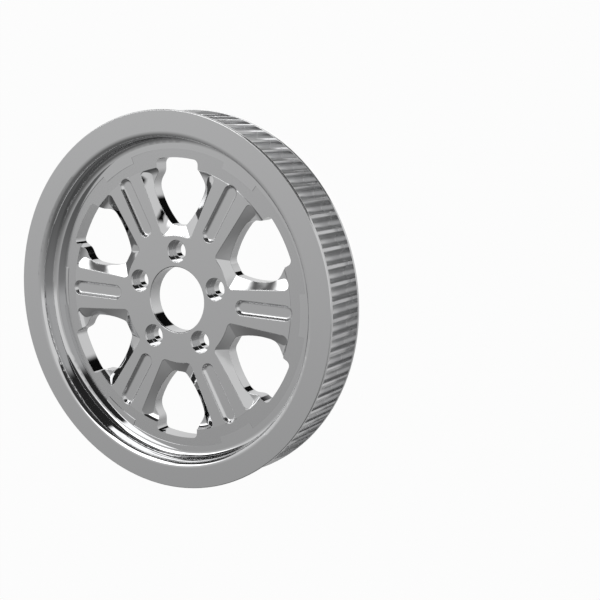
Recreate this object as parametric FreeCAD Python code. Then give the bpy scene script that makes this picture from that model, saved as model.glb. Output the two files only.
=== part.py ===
"""Belt pulley for a toothed drive belt, one piece machined from a billet.

The axis is Z and the dished front face is up. The back rim face lies on z = 0 and the origin is
where the axis meets it. A spoke points along +X, and a window and a bolt hole along +Y.
"""
import FreeCAD, Part
import math
import os

# Belt teeth
tooth_count = 70
belt_pitch = 14.0
pitch_line_offset = 1.397
groove_depth = 6.0
groove_radius = 4.65
tip_edge_break = 1.2

# Belt track and its two flanges
belt_width = 38.1
belt_side_clearance = 1.55
flange_thickness = 2.6
flange_height = 3.9
flange_edge_break = 0.5

# Rim and web
rim_wall = 12.5
rim_round = 4.8
back_edge_break = 1.5
front_dish_depth = 17.1
web_thickness = 14.0

# Hub
bore_diameter = 55.9
bore_edge_break = 0.6
bolt_count = 5
bolt_circle = 82.55
bolt_hole_diameter = 11.5
bolt_head_diameter = 19.0
bolt_head_depth = 7.0

# Spokes, each with a blind slot
spoke_count = 6
hub_radius = 54.3
ring_inner_radius = 112.0
spoke_width_at_hub = 27.9
spoke_width_at_ring = 37.5
slot_width = 12.7
slot_depth = 3.0
slot_floor_break = 2.0
slot_hub_margin = 5.3
slot_ring_reach = 1.2

# Windows between the spokes: twisted flanks round a through cut
flank_lip = 0.3
flank_depth = 3.9
ledge_step = 0.4
ring_foot_round = 6.0
ring_foot_past = 0.3
ring_corner_radius = 4.4
hub_corner_radius = 5.0
flank_width_at_shoulder = 7.1
shoulder_inset = 15.2
throat_inset = 5.0
throat_step = 6.3
throat_reach = 7.4
foot_margin = 8.3
foot_width = 13.0
side_bulge = 2.7
crown_corner_radius = 4.4
throat_corner_radius = 8.0
shoulder_corner_radius = 12.0
foot_corner_radius = 7.0

# Shallow ring cut round the windows, with a tab over each of them
ring_cut_depth = 0.4
ring_cut_width = 9.0
tab_reach = 5.6
tab_span = 44.0

# Cutters stand this far outside the metal, and nearer than this counts as the same place
overrun = 2.0
same = 0.001

# Sizes worked out from those above
tip_radius = tooth_count * belt_pitch / (2 * math.pi) - pitch_line_offset
flange_radius = tip_radius + flange_height
track_width = belt_width + 2 * belt_side_clearance
total_width = track_width + 2 * flange_thickness
dish_radius = tip_radius - groove_depth - rim_wall
web_front = total_width - front_dish_depth
web_back = web_front - web_thickness
window_step = 360.0 / spoke_count


def at(radius, angle, z=0.0):
    """Point at a radius and an angle in degrees round the axis."""
    turn = math.radians(angle)
    return FreeCAD.Vector(radius * math.cos(turn), radius * math.sin(turn), z)


def disc(radius, bottom, top):
    """Cylinder on the axis between two heights."""
    return Part.makeCylinder(radius, top - bottom, FreeCAD.Vector(0, 0, bottom))


def turned(shape, angle):
    """Copy of a shape turned round the axis."""
    copy = shape.copy()
    copy.rotate(FreeCAD.Vector(), FreeCAD.Vector(0, 0, 1), angle)
    return copy


def other_side(point):
    """The same point on the other side of the X axis."""
    return FreeCAD.Vector(point.x, -point.y, point.z)


def prism(edges, bottom, top):
    """Solid on a closed outline in the XY plane, between two heights."""
    face = Part.Face(Part.Wire(edges))
    face.translate(FreeCAD.Vector(0, 0, bottom))
    return face.extrude(FreeCAD.Vector(0, 0, top - bottom))


def line(start, end):
    return Part.LineSegment(start, end).toShape()


def arc(start, middle, end):
    return Part.Arc(start, middle, end).toShape()


def round_upright_edges(solid, places, radius):
    """Round the upright edges of a prism that stand at the given places."""
    edges = []
    for edge in solid.Edges:
        middle = edge.CenterOfMass
        upright = edge.BoundBox.ZLength > same
        for place in places:
            aside = math.hypot(middle.x - place.x, middle.y - place.y)
            if upright and aside < same:
                edges.append(edge)
    return solid.makeFillet(radius, edges)


def blank():
    """Turned blank: rim with a dish on both sides, the front one rounded, and the web between them."""
    outer = flange_radius
    edge = flange_edge_break
    inner = dish_radius
    front = total_width
    round_in = (1 - math.sqrt(0.5)) * rim_round

    def point(radius, z):
        return FreeCAD.Vector(radius, 0, z)

    def corner(radius, z, along_r, along_z):
        """Quarter round from the flat face at z to the upright wall at radius."""
        start = point(radius + along_r * rim_round, z)
        middle = point(radius + along_r * round_in, z + along_z * round_in)
        end = point(radius, z + along_z * rim_round)
        return start, middle, end

    lip = corner(inner, front, 1, -1)
    foot = corner(inner, web_front, -1, 1)
    corners = [
        foot[0],
        point(0, web_front),
        point(0, web_back),
        point(inner, web_back),
        point(inner, back_edge_break),
        point(inner + back_edge_break, 0),
        point(outer - edge, 0),
        point(outer, edge),
        point(outer, front - edge),
        point(outer - edge, front),
        lip[0],
    ]
    profile = [line(start, end) for start, end in zip(corners, corners[1:])]
    profile += [arc(*lip), line(lip[2], foot[2]), arc(*reversed(foot))]
    return Part.Face(Part.Wire(profile)).revolve(FreeCAD.Vector(), FreeCAD.Vector(0, 0, 1), 360)


def belt_track():
    """Cutter for the belt track: what is left inside it are the teeth."""
    groove_centre = tip_radius - groove_depth + groove_radius
    step = 360.0 / tooth_count

    def half_groove(radius):
        """Angle from the middle of a groove to its wall at a radius."""
        cosine = (groove_centre**2 + radius**2 - groove_radius**2) / (2 * groove_centre * radius)
        return math.degrees(math.acos(cosine))

    wall_radius = tip_radius - tip_edge_break
    wall_angle = half_groove(wall_radius)
    tip_angle = half_groove(tip_radius) + math.degrees(tip_edge_break / tip_radius)
    edges = []
    for tooth in range(tooth_count):
        middle = (tooth + 0.5) * step
        tip_start = at(tip_radius, middle - step + tip_angle)
        tip_end = at(tip_radius, middle - tip_angle)
        wall_before = at(wall_radius, middle - wall_angle)
        wall_after = at(wall_radius, middle + wall_angle)
        next_tip = at(tip_radius, middle + tip_angle)
        edges.append(arc(tip_start, at(tip_radius, tooth * step), tip_end))
        edges.append(line(tip_end, wall_before))
        edges.append(arc(wall_before, at(tip_radius - groove_depth, middle), wall_after))
        edges.append(line(wall_after, next_tip))
    track = prism(edges, flange_thickness, total_width - flange_thickness)
    return disc(flange_radius + overrun, flange_thickness, total_width - flange_thickness).cut(track)


def window_side(outward=0.0):
    """Foot and direction of the spoke edge on the left of the window along +X, or of a line outside it."""
    lean = math.atan2(spoke_width_at_ring - spoke_width_at_hub, 2 * (ring_inner_radius - hub_radius))
    foot = at(hub_radius, window_step / 2) + at(spoke_width_at_hub / 2 - outward, window_step / 2 - 90)
    return foot, window_step / 2 - math.degrees(lean)


def side_crossing(radius, outward=0.0):
    """Point where that line meets a circle round the axis."""
    foot, angle = window_side(outward)
    along = at(1, angle)
    half = foot.dot(along)
    return foot + along * (math.sqrt(half**2 - foot.dot(foot) + radius**2) - half)


def cut_corners():
    """Crown, throat, shoulder and foot of the through cut, on the left of the window along +X."""
    shoulder_x = ring_inner_radius - shoulder_inset
    side_foot, side_angle = window_side()
    side_slope = math.radians(side_angle)
    half_shoulder = side_foot.y + (shoulder_x - side_foot.x) * math.tan(side_slope)
    half_shoulder -= flank_width_at_shoulder / math.cos(side_slope)
    half_throat = half_shoulder - throat_step
    crown = ring_inner_radius + throat_reach
    return (
        FreeCAD.Vector(math.sqrt(crown**2 - half_throat**2), half_throat, 0),
        FreeCAD.Vector(ring_inner_radius - throat_inset, half_throat, 0),
        FreeCAD.Vector(shoulder_x, half_shoulder, 0),
        FreeCAD.Vector(hub_radius + foot_margin, foot_width / 2, 0),
    )


def cut_side(inset, x):
    """Point at x on the bulged left side of the through cut, or at an inset inside it."""
    shoulder, foot = cut_corners()[2:]
    chord = shoulder - foot
    radius = (chord.Length**2 / 4 + side_bulge**2) / (2 * side_bulge)
    out = FreeCAD.Vector(-chord.y, chord.x, 0) / chord.Length
    centre = (shoulder + foot) / 2 - out * (radius - side_bulge)
    return FreeCAD.Vector(x, centre.y + math.sqrt((radius - inset)**2 - (x - centre.x)**2), 0)


def window_flanks():
    """Cutter of the window along +X down to its flanks, which twist from the spokes and the hub
    towards the sides of the through cut. It stands past both edges of the flanks."""
    past = overrun / 2
    slope = (flank_depth - flank_lip) / flank_width_at_shoulder
    high = web_front - flank_lip + past * slope
    deep = web_front - flank_depth - past * slope
    hub = hub_radius - past
    ring = ring_inner_radius + overrun
    hub_left = side_crossing(hub, past)
    ring_left = side_crossing(ring, past)
    top = [
        arc(other_side(ring_left), at(ring, 0), ring_left),
        line(ring_left, hub_left),
        arc(hub_left, at(hub, 0), other_side(hub_left)),
        line(other_side(hub_left), other_side(ring_left)),
    ]
    foot_left = cut_side(past, hub_radius + foot_margin + past)
    reach_left = cut_side(past, ring_inner_radius)
    middle_left = cut_side(past, (foot_left.x + reach_left.x) / 2)
    bottom = [
        line(other_side(reach_left), reach_left),
        arc(reach_left, middle_left, foot_left),
        line(foot_left, other_side(foot_left)),
        arc(other_side(foot_left), other_side(middle_left), other_side(reach_left)),
    ]
    sections = []
    for edges, z in ((top, web_front + overrun), (top, high), (bottom, deep)):
        section = Part.Wire(edges)
        section.translate(FreeCAD.Vector(0, 0, z))
        sections.append(section)
    return Part.makeLoft(sections, True, True)


def window_pocket():
    """Cutter of the pocket round the window along +X, with a round along the foot of its ring wall."""
    floor = web_front - flank_depth - ledge_step
    hub_left = side_crossing(hub_radius)
    ring_left = side_crossing(ring_inner_radius)
    hubs = [hub_left, other_side(hub_left)]
    rings = [ring_left, other_side(ring_left)]
    outline = [
        arc(rings[1], at(ring_inner_radius, 0), rings[0]),
        line(rings[0], hubs[0]),
        arc(hubs[0], at(hub_radius, 0), hubs[1]),
        line(hubs[1], rings[1]),
    ]
    pocket = prism(outline, floor - overrun, web_front + overrun)
    pocket = round_upright_edges(pocket, rings, ring_corner_radius)
    pocket = round_upright_edges(pocket, hubs, hub_corner_radius)
    bowl = disc(ring_inner_radius + ring_foot_past, floor, total_width)
    foot = [edge for edge in bowl.Edges if edge.BoundBox.ZMax - floor < same]
    return pocket.common(bowl.makeFillet(ring_foot_round, foot)).common(window_flanks())


def window_cut():
    """Cutter of the through cut of the window that points along +X."""
    lefts = cut_corners()
    crown, throat, shoulder, foot = lefts
    side_middle = cut_side(0, (shoulder.x + foot.x) / 2)
    outline = [
        arc(other_side(crown), at(ring_inner_radius + throat_reach, 0), crown),
        line(crown, throat),
        line(throat, shoulder),
        arc(shoulder, side_middle, foot),
        line(foot, other_side(foot)),
        arc(other_side(foot), other_side(side_middle), other_side(shoulder)),
        line(other_side(shoulder), other_side(throat)),
        line(other_side(throat), other_side(crown)),
    ]
    cut = prism(outline, web_back - overrun, web_front + overrun)
    radii = (crown_corner_radius, throat_corner_radius, shoulder_corner_radius, foot_corner_radius)
    for corner, radius in zip(lefts, radii):
        cut = round_upright_edges(cut, [corner, other_side(corner)], radius)
    return cut


def spoke_slot():
    """Cutter of the blind slot along the spoke that points along +X."""
    half = slot_width / 2
    near = hub_radius + slot_hub_margin + half
    far = ring_inner_radius + slot_ring_reach - half

    def point(x, y):
        return FreeCAD.Vector(x, y, 0)

    outline = [
        line(point(near, -half), point(far, -half)),
        arc(point(far, -half), point(far + half, 0), point(far, half)),
        line(point(far, half), point(near, half)),
        arc(point(near, half), point(near - half, 0), point(near, -half)),
    ]
    floor = web_front - slot_depth
    slot = prism(outline, floor, web_front + overrun)
    floor_edges = [edge for edge in slot.Edges if edge.BoundBox.ZMax - floor < same]
    return slot.makeChamfer(slot_floor_break, floor_edges)


def ring_cut():
    """Cutter of the shallow ring round the windows and of its tabs."""
    floor = web_front - ring_cut_depth
    top = web_front + overrun
    outer = ring_inner_radius + ring_cut_width
    ring = disc(outer, floor, top)
    for window in range(spoke_count):
        tab = Part.makeCylinder(
            outer + tab_reach, top - floor, FreeCAD.Vector(0, 0, floor), FreeCAD.Vector(0, 0, 1), tab_span
        )
        ring = ring.fuse(turned(tab, (window + 0.5) * window_step - tab_span / 2))
    return ring.cut(disc(ring_inner_radius, floor, top)).removeSplitter()


def hub_holes():
    """Cutters of the bore with its broken edges, and of the counterbored bolt holes."""
    radius = bore_diameter / 2
    edge = bore_edge_break
    cutters = [
        disc(radius, web_back - overrun, web_front + overrun),
        Part.makeCone(radius, radius + edge, edge, FreeCAD.Vector(0, 0, web_front - edge)),
        Part.makeCone(radius + edge, radius, edge, FreeCAD.Vector(0, 0, web_back)),
    ]
    hole = disc(bolt_hole_diameter / 2, web_back - overrun, web_front + overrun)
    head = disc(bolt_head_diameter / 2, web_front - bolt_head_depth, web_front + overrun)
    bolt = hole.fuse(head)
    bolt.translate(at(bolt_circle / 2, 90))
    for place in range(bolt_count):
        cutters.append(turned(bolt, place * 360.0 / bolt_count))
    return cutters


def belt_pulley():
    pocket = window_pocket()
    through = window_cut()
    slot = spoke_slot()
    cutters = [belt_track(), ring_cut()] + hub_holes()
    for spoke in range(spoke_count):
        cutters.append(turned(slot, spoke * window_step))
        cutters.append(turned(pocket, (spoke + 0.5) * window_step))
        cutters.append(turned(through, (spoke + 0.5) * window_step))
    return blank().cut(cutters)


os.makedirs("parts", exist_ok=True)
pulley = belt_pulley()
pulley.exportStep("parts/belt_pulley.step")
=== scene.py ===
import bpy
import math
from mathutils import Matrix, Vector

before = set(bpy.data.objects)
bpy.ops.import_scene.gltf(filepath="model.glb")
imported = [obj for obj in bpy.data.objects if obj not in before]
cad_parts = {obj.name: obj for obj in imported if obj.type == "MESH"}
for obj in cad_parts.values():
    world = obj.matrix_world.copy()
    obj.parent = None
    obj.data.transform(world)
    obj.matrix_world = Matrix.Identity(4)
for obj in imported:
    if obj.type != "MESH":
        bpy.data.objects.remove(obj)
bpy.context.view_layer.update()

# The pulley
# One billet of aluminium, turned and milled to its teeth, dish and spokes, then polished and
# plated with chrome. The belt track keeps the satin of the cutter, and so does the shallow ring
# cut round the windows, a shade darker. Edges are eased, most of all in the slots of the spokes.
web_front = 0.0293
ring_cut_depth = 0.0004
ring_inner_radius = 0.112
ring_outer_radius = 0.1275
slot_depth = 0.003
slot_half_width = 0.0064
slot_reach = (0.058, 0.115)
spoke_step = 60
groove_bottom_radius = 0.1480
track_heights = (0.0027, 0.0437)
margin = 0.0002
hair = 0.00003
chrome_tint = (0.55, 0.552, 0.556)
polished = 0.02
smudged = 0.03
smudge_scale = 45
smudge_detail = 4
ring_satin = 0.10
ring_shade = 0.07
track_satin = 0.27
edge_round = 0.0006
slot_floor_round = 0.002
round_samples = 8


class Wire:
    """A shader output that can stand in a sum: each operator adds a Math node to its tree."""

    def __init__(self, tree, socket=None):
        self.tree = tree
        self.socket = socket

    def node(self, kind, settings=(), sockets=(), output=0):
        """Adds a node, sets it up, fills or links its sockets, and gives one of its outputs."""
        made = self.tree.nodes.new(kind)
        for name, value in dict(settings).items():
            setattr(made, name, value)
        for name, value in dict(sockets).items():
            if isinstance(value, Wire):
                self.tree.links.new(value.socket, made.inputs[name])
            else:
                made.inputs[name].default_value = value
        return Wire(self.tree, made.outputs[output] if made.outputs else None)

    def math(self, operation, *values):
        return self.node("ShaderNodeMath", {"operation": operation}, enumerate(values))

    def __add__(self, other):
        return self.math("ADD", self, other)

    def __rsub__(self, other):
        return self.math("SUBTRACT", other, self)

    def __mul__(self, other):
        return self.math("MULTIPLY", self, other)

    def __gt__(self, other):
        return self.math("GREATER_THAN", self, other)

    def __lt__(self, other):
        return self.math("LESS_THAN", self, other)

    __radd__ = __add__
    __rmul__ = __mul__


def empty_tree(owner):
    """Switches on an owner's nodes, clears them, and gives the tree to build in."""
    owner.use_nodes = True
    owner.node_tree.nodes.clear()
    return Wire(owner.node_tree)


def coordinates(place, axes):
    """The single coordinates of a place, one for each letter."""
    return [place.node("ShaderNodeSeparateXYZ", sockets={0: place}, output=axis) for axis in axes]


def chrome():
    """Mirror chrome with faint cloudy smudges, satin where the cutter left it, and eased edges."""
    material = bpy.data.materials.new("chrome")
    tree = empty_tree(material)
    place = tree.node("ShaderNodeTexCoord", output="Object")
    x, y, z = coordinates(place, "XYZ")
    radius = tree.math("SQRT", x * x + y * y)
    from_spoke = tree.math("PINGPONG", tree.math("ARCTAN2", y, x), math.radians(spoke_step / 2))
    aside = radius * tree.math("SINE", from_spoke)
    web = (z > web_front - ring_cut_depth - margin) * (z < web_front + margin)
    ring = (radius > ring_inner_radius) * (radius < ring_outer_radius)
    ring = web * ring * (z < web_front - hair)
    by_ring = (radius > ring_inner_radius - edge_round) * (radius < ring_outer_radius + edge_round)
    slot = (radius > slot_reach[0]) * (radius < slot_reach[1]) * (aside < slot_half_width)
    slot = slot * (z > web_front - slot_depth - margin) * (z < web_front - margin)
    track = (radius > groove_bottom_radius) * (z > track_heights[0]) * (z < track_heights[1])
    clouds = tree.node(
        "ShaderNodeTexNoise",
        sockets={"Vector": place, "Scale": smudge_scale, "Detail": smudge_detail},
    )
    shade = 1 - ring_shade * ring
    tint = tree.node(
        "ShaderNodeVectorMath", {"operation": "SCALE"}, {0: chrome_tint, "Scale": shade}
    )
    roughness = polished + smudged * clouds + ring_satin * ring + track_satin * track
    ease = edge_round * (1 - web * by_ring) + (slot_floor_round - edge_round) * slot
    normal = tree.node("ShaderNodeBevel", {"samples": round_samples}, {"Radius": ease})
    surface = tree.node(
        "ShaderNodeBsdfPrincipled",
        sockets={"Base Color": tint, "Metallic": 1, "Roughness": roughness, "Normal": normal},
    )
    tree.node("ShaderNodeOutputMaterial", sockets={"Surface": surface})
    return material


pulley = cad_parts["belt_pulley"]
pulley.data.materials.clear()
pulley.data.materials.append(chrome())

# The floor
# A wide sheet of card well below the pulley, which hangs free. To the lens it is almost as white
# as the backdrop, with hardly a shadow. In the chrome it shows a painted glow that fades from white
# on the far side to none, leaving plain grey card, on the near side.
floor_size = 16.0
floor_drop = 1.1
card_tone = (0.6, 0.6, 0.6, 1)
card_glow = 1.0
glow_to_lens = 0.95
near_side = {"at": -0.75, "light": 0.0}
far_side = {"at": 0.45, "light": 0.95}


def ramp(value, low, high):
    """Light that changes evenly between two places, and stays the same beyond them."""
    limits = {"From Min": low["at"], "From Max": high["at"]}
    lights = {"To Min": low["light"], "To Max": high["light"]}
    return value.node("ShaderNodeMapRange", sockets={"Value": value, **limits, **lights})


def card():
    material = bpy.data.materials.new("white_card")
    tree = empty_tree(material)
    paper = tree.node("ShaderNodeBsdfDiffuse", sockets={"Color": card_tone})
    glow = tree.node("ShaderNodeEmission", sockets={"Strength": card_glow})
    lens = tree.node("ShaderNodeLightPath", output="Is Camera Ray")
    mirror = tree.node("ShaderNodeLightPath", output="Is Glossy Ray")
    glass = tree.node("ShaderNodeLightPath", output="Is Transmission Ray")
    (depth,) = coordinates(tree.node("ShaderNodeTexCoord", output="Object"), "Y")
    # Painted glow for mirror and glass rays: the card glows brighter towards its far side.
    share = lens * glow_to_lens + (mirror + glass) * ramp(depth, near_side, far_side)
    surface = tree.node("ShaderNodeMixShader", sockets={0: share, 1: paper, 2: glow})
    tree.node("ShaderNodeOutputMaterial", sockets={"Surface": surface})
    return material


bpy.ops.mesh.primitive_plane_add(size=floor_size, location=(0, 0, -floor_drop))
floor = bpy.context.object
floor.name = "floor"
floor.data.materials.append(card())

# Studio light
# A pale room that grows darker towards the near side, with one soft box over the far left, dark
# cloth beside and above it, and two black flags. The lens sees a white backdrop, the chrome sees
# the room. Places are degrees of height and bearing from the pulley's front, pieces with a blur.
room_up = Vector((-0.078, 0.997, 0.0))
room_side = Vector((0.997, 0.078, 0.0))
room_front = Vector((0.0, 0.0, 1.0))
low_wall = {"at": -50, "light": 0.18}
high_wall = {"at": 2, "light": 0.72}
room_pieces = {
    "upper_wall": {"light": 0.98, "height": (11, 90, 9), "bearing": (-180, 180, 1)},
    "side_card": {"light": 1.05, "height": (-4, 30, 10), "bearing": (30, 100, 12)},
    "ceiling": {"light": 0.05, "height": (32, 100, 6), "bearing": (-180, 180, 1)},
    "curtain": {"light": 0.05, "height": (27, 50, 4), "bearing": (-100, -58, 4)},
    "soft_box": {"light": 3.2, "height": (20, 58, 6), "bearing": (-54, -6, 4)},
    "box_bar": {"light": 0.2, "height": (39, 39.5, 6), "bearing": (-58, -34, 7)},
}
backdrop_white = (1, 1, 1, 1)
flags = {
    "front_flag": {"height": 24, "bearing": 4, "distance": 0.6, "size": (0.09, 0.11), "edge": 0.35},
    "back_flag": {"height": 38, "bearing": 167, "distance": 1.25, "size": (0.95, 0.38), "edge": 0.1},
}
felt_black = (0.01, 0.01, 0.01, 1)


def between(value, low, high, blur):
    """Mask that is one between two limits and fades over the blur outside them."""
    steps = []
    for start in (low - blur, high):
        limits = {"Value": value, "From Min": start, "From Max": start + blur}
        steps.append(
            value.node("ShaderNodeMapRange", {"interpolation_type": "SMOOTHSTEP"}, limits)
        )
    return steps[0] * (1 - steps[1])


def studio():
    world = bpy.data.worlds.new("studio")
    tree = empty_tree(world)
    direction = tree.node("ShaderNodeTexCoord", output="Generated")

    def along(axis):
        return tree.node(
            "ShaderNodeVectorMath", {"operation": "DOT_PRODUCT"}, {0: direction, 1: axis}, "Value"
        )

    height = tree.math("ARCSINE", along(room_up)) * math.degrees(1)
    bearing = tree.math("ARCTAN2", along(room_side), along(room_front)) * math.degrees(1)
    light = ramp(height, low_wall, high_wall)
    for piece in room_pieces.values():
        mask = between(height, *piece["height"]) * between(bearing, *piece["bearing"])
        light = light * (1 - mask) + piece["light"] * mask
    lens = tree.node("ShaderNodeLightPath", output="Is Camera Ray")
    strength = light * (1 - lens) + lens
    sky = tree.node("ShaderNodeBackground", sockets={"Color": backdrop_white, "Strength": strength})
    tree.node("ShaderNodeOutputWorld", sockets={"Surface": sky})
    return world


def black_cloth(edge):
    """Black felt that thins out over a share of the flag along its edges."""
    material = bpy.data.materials.new("black_cloth")
    tree = empty_tree(material)
    across, along = coordinates(tree.node("ShaderNodeTexCoord", output="Generated"), "XY")
    cover = between(across, edge, 1 - edge, edge) * between(along, edge, 1 - edge, edge)
    felt = tree.node("ShaderNodeBsdfDiffuse", sockets={"Color": felt_black})
    gap = tree.node("ShaderNodeBsdfTransparent")
    surface = tree.node("ShaderNodeMixShader", sockets={0: cover, 1: gap, 2: felt})
    tree.node("ShaderNodeOutputMaterial", sockets={"Surface": surface})
    return material


def hang(name, piece):
    """Hangs a flag that faces the pulley and that the lens doesn't see."""
    height = math.radians(piece["height"])
    bearing = math.radians(piece["bearing"])
    level = room_side * math.sin(bearing) + room_front * math.cos(bearing)
    outward = room_up * math.sin(height) + level * math.cos(height)
    bpy.ops.mesh.primitive_plane_add(size=1, location=outward * piece["distance"])
    flag = bpy.context.object
    flag.name = name
    flag.scale = (*piece["size"], 1)
    flag.rotation_euler = outward.to_track_quat("Z", "Y").to_euler()
    flag.data.materials.append(black_cloth(piece["edge"]))
    flag.visible_camera = False


bpy.context.scene.world = studio()
bpy.context.scene.view_settings.view_transform = "Standard"
for name, piece in flags.items():
    hang(name, piece)

# Camera
# It looks down on the front face from the right, with the +Y window upwards in the picture, and
# with the pulley in the left half.
camera_place = (0.5512, 0.1602, 0.7675)
camera_turn = (-9.194, 30.432, 1.231)
camera_lens = 66.06
camera_data = bpy.data.cameras.new("camera")
camera_data.lens = camera_lens
camera = bpy.data.objects.new("camera", camera_data)
camera.location = camera_place
camera.rotation_euler = [math.radians(angle) for angle in camera_turn]
bpy.context.scene.collection.objects.link(camera)
bpy.context.scene.camera = camera
